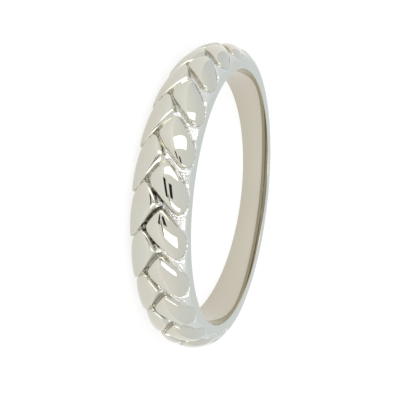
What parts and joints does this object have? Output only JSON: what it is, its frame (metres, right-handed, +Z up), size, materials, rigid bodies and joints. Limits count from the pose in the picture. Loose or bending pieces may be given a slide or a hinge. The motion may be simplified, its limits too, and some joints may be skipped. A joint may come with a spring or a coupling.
{
  "type": "braided band ring",
  "caption": "Polished finger ring whose band is widest at a crest with a raised three-strand plait and tapers to a plain shank.",
  "frame": {"origin": "where the axis of the finger hole meets the surface that the ring lies on", "axes": "+Z up from that surface, +X towards the crest of the band, +Y along the band"},
  "size_m": [0.0206, 0.0206, 0.0037],
  "materials": {
    "polished_white_metal": "mirror polish, with matt cast floors in the channels of the plait"
  },
  "bodies": {
    "root": {"braided_band": "polished_white_metal"}
  },
  "joints": []
}
